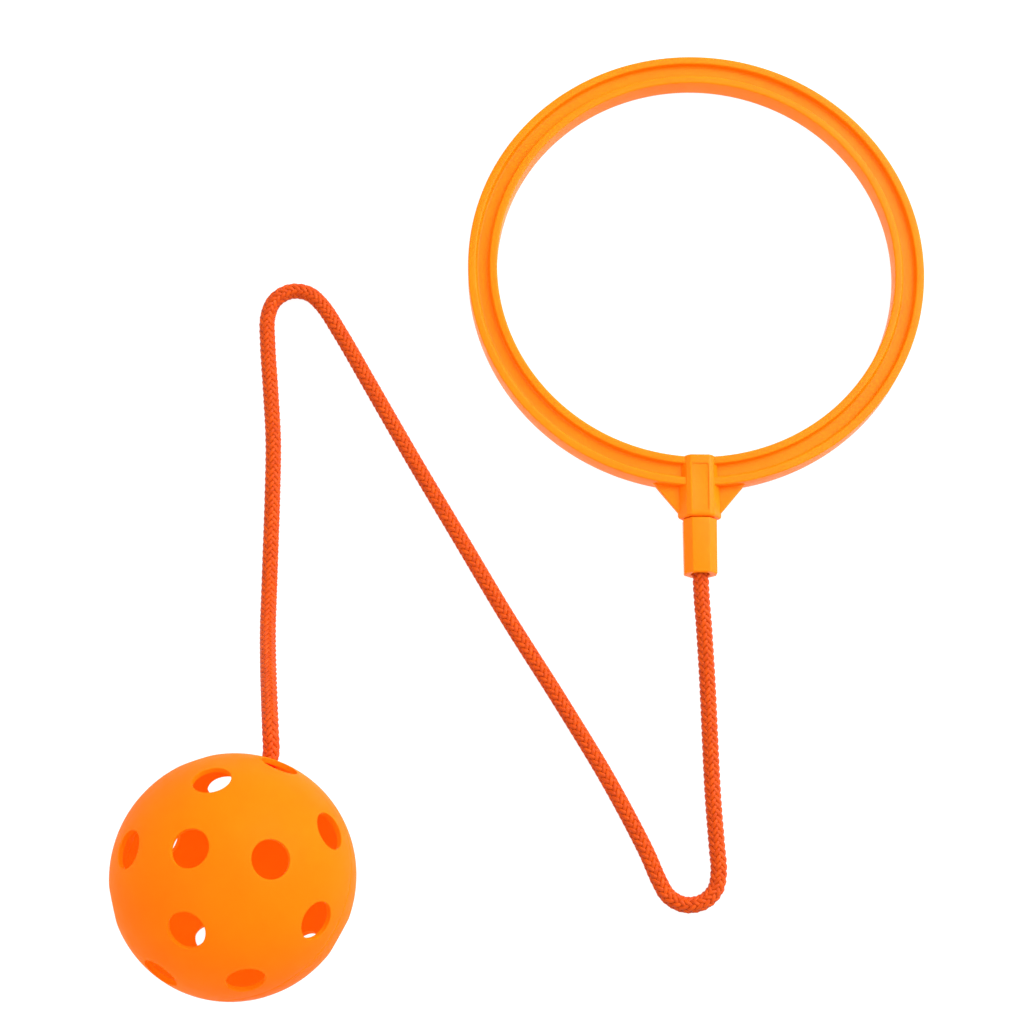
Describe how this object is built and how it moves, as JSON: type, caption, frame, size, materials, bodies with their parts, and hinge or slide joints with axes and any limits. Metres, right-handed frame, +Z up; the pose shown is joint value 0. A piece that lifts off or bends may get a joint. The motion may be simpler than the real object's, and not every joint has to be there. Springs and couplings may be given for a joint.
{
  "type": "ankle skip ball",
  "caption": "Flat ankle ring with a swivelling sleeve in its socket, and a braided cord from the sleeve to a hollow perforated plastic ball.",
  "frame": {"origin": "centre of the ring and ball's footprint, on the surface that the object lies on", "axes": "+Z up from the surface; +Y from the ball towards the ring, along the footprint's longer side; +X from the ball's side towards the ring's side"},
  "size_m": [0.2462, 0.3037, 0.0699],
  "materials": {
    "ring_plastic": "satin injection-moulded orange plastic, slightly translucent",
    "ball_plastic": "matte orange plastic with a fine moulded texture",
    "cord": "red-orange braided polyester, sixteen strands, 5 mm across"
  },
  "bodies": {
    "ring": {"ankle_ring": "ring_plastic", "sleeve_knot": "cord", "sleeve_cord": "cord"},
    "sleeve": {"swivel_sleeve": "ring_plastic"},
    "cord_run": {"cord": "cord", "ball_knot": "cord"},
    "ball": {"ball_upper_half": "ball_plastic", "ball_lower_half": "ball_plastic"}
  },
  "joints": [
    {"name": "sleeve_swivel", "type": "hinge", "parent": "ring", "child": "sleeve", "pos_m": [0.05014, -0.00351, 0.00525], "axis": [-0.0044, -1, 0.0081], "continuous": true},
    {"name": "cord_swing", "type": "hinge", "parent": "ring", "child": "cord_run", "pos_m": [0.0502, -0.0253, 0.0053], "axis": [0, 0, 1], "range_deg": [-18, 45]},
    {"name": "ball_spin", "type": "hinge", "parent": "cord_run", "child": "ball", "pos_m": [-0.088, -0.1168, 0.035], "axis": [0.2596, 0.9639, -0.0595], "continuous": true}
  ]
}
